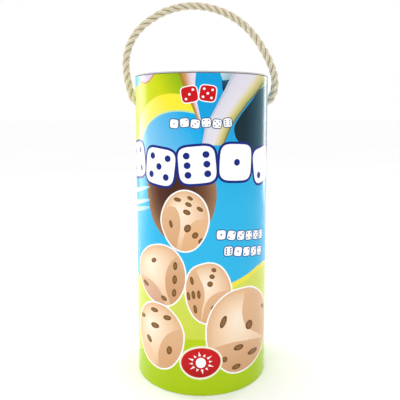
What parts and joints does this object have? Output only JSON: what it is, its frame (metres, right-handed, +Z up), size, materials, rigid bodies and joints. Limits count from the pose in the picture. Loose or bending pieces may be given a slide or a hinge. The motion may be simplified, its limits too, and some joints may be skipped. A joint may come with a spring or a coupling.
{
  "type": "giant yard dice in carry tube",
  "caption": "Turned wooden yard dice, score pad and pencil in a printed cardboard tube with a plastic plug lid and a twisted rope handle.",
  "frame": {"origin": "centre of the tube's bottom edge, on the surface it stands on", "axes": "+Z up the tube's axis, front of the printed wrap facing -Y, rope eyelets towards the back at -X and +X"},
  "size_m": [0.1627, 0.128, 0.3714],
  "materials": {
    "greyboard": "matte wound board, bare at the cut edges",
    "gloss_print": "gloss laminated print in sky blue, lime and yellow",
    "liner_paper": "white matte paper",
    "lid_plastic": "grey moulded polyethylene, satin",
    "eyelet_metal": "nickel plated",
    "rope": "natural cream three-strand twist",
    "die_wood": "pale wood, waxed, with brown pips",
    "pad_paper": "white paper with a printed score grid",
    "pad_board": "grey board",
    "pad_glue": "red padding glue",
    "leaflet_paper": "folded coated paper",
    "pencil_wood": "yellow lacquer, bare wood at the cone",
    "graphite": "dark grey, slight sheen"
  },
  "bodies": {
    "tube": {"tube_core": "greyboard", "printed_wrap": "gloss_print", "inner_liner": "liner_paper", "base_ring": "greyboard", "base_disc": "greyboard", "eyelet_left": "eyelet_metal", "eyelet_right": "eyelet_metal", "eyelet_washer_left": "eyelet_metal", "eyelet_washer_right": "eyelet_metal"},
    "lid": {"lid_plug": "lid_plastic"},
    "rope": {"rope_handle": "rope", "rope_knot_left": "rope", "rope_knot_right": "rope"},
    "die_1_body": {"die_1": "die_wood"},
    "die_2_body": {"die_2": "die_wood"},
    "die_3_body": {"die_3": "die_wood"},
    "die_4_body": {"die_4": "die_wood"},
    "die_5_body": {"die_5": "die_wood"},
    "score_pad": {"pad_sheets": "pad_paper", "pad_backing": "pad_board", "pad_binding": "pad_glue"},
    "rules": {"rules_leaflet": "leaflet_paper"},
    "pencil": {"pencil_body": "pencil_wood", "pencil_lead": "graphite"}
  },
  "joints": [
    {"name": "lid_lift", "type": "slide", "parent": "tube", "child": "lid", "axis": [0, 0, 1], "range_m": [0, 0.034]},
    {"name": "rope_swing", "type": "hinge", "parent": "tube", "child": "rope", "pos_m": [0, 0.02694, 0.2645], "axis": [-1, 0, 0], "range_deg": [-100, 140]},
    {"name": "die_5_rise", "type": "slide", "parent": "tube", "child": "die_5_body", "axis": [0, 0, 1], "range_m": [0, 0.099]},
    {"name": "die_4_rise", "type": "slide", "parent": "tube", "child": "die_4_body", "axis": [0, 0, 1], "range_m": [0, 0.066]},
    {"name": "die_3_rise", "type": "slide", "parent": "tube", "child": "die_3_body", "axis": [0, 0, 1], "range_m": [0, 0.066]},
    {"name": "die_2_rise", "type": "slide", "parent": "tube", "child": "die_2_body", "axis": [0, 0, 1], "range_m": [0, 0.033]},
    {"name": "die_1_rise", "type": "slide", "parent": "tube", "child": "die_1_body", "axis": [0, 0, 1], "range_m": [0, 0.033]},
    {"name": "pad_rise", "type": "slide", "parent": "tube", "child": "score_pad", "axis": [0, 0, 1], "range_m": [0, 0.098]},
    {"name": "rules_rise", "type": "slide", "parent": "tube", "child": "rules", "axis": [0, 0, 1], "range_m": [0, 0.098]},
    {"name": "pencil_rise", "type": "slide", "parent": "tube", "child": "pencil", "axis": [0, 0, 1], "range_m": [0, 0.092]}
  ],
  "couplings": [
    {"joint": "die_4_rise", "follows": "die_5_rise", "ratio": 0.6666},
    {"joint": "die_3_rise", "follows": "die_5_rise", "ratio": 0.6666},
    {"joint": "die_2_rise", "follows": "die_5_rise", "ratio": 0.3333},
    {"joint": "die_1_rise", "follows": "die_5_rise", "ratio": 0.3333}
  ]
}
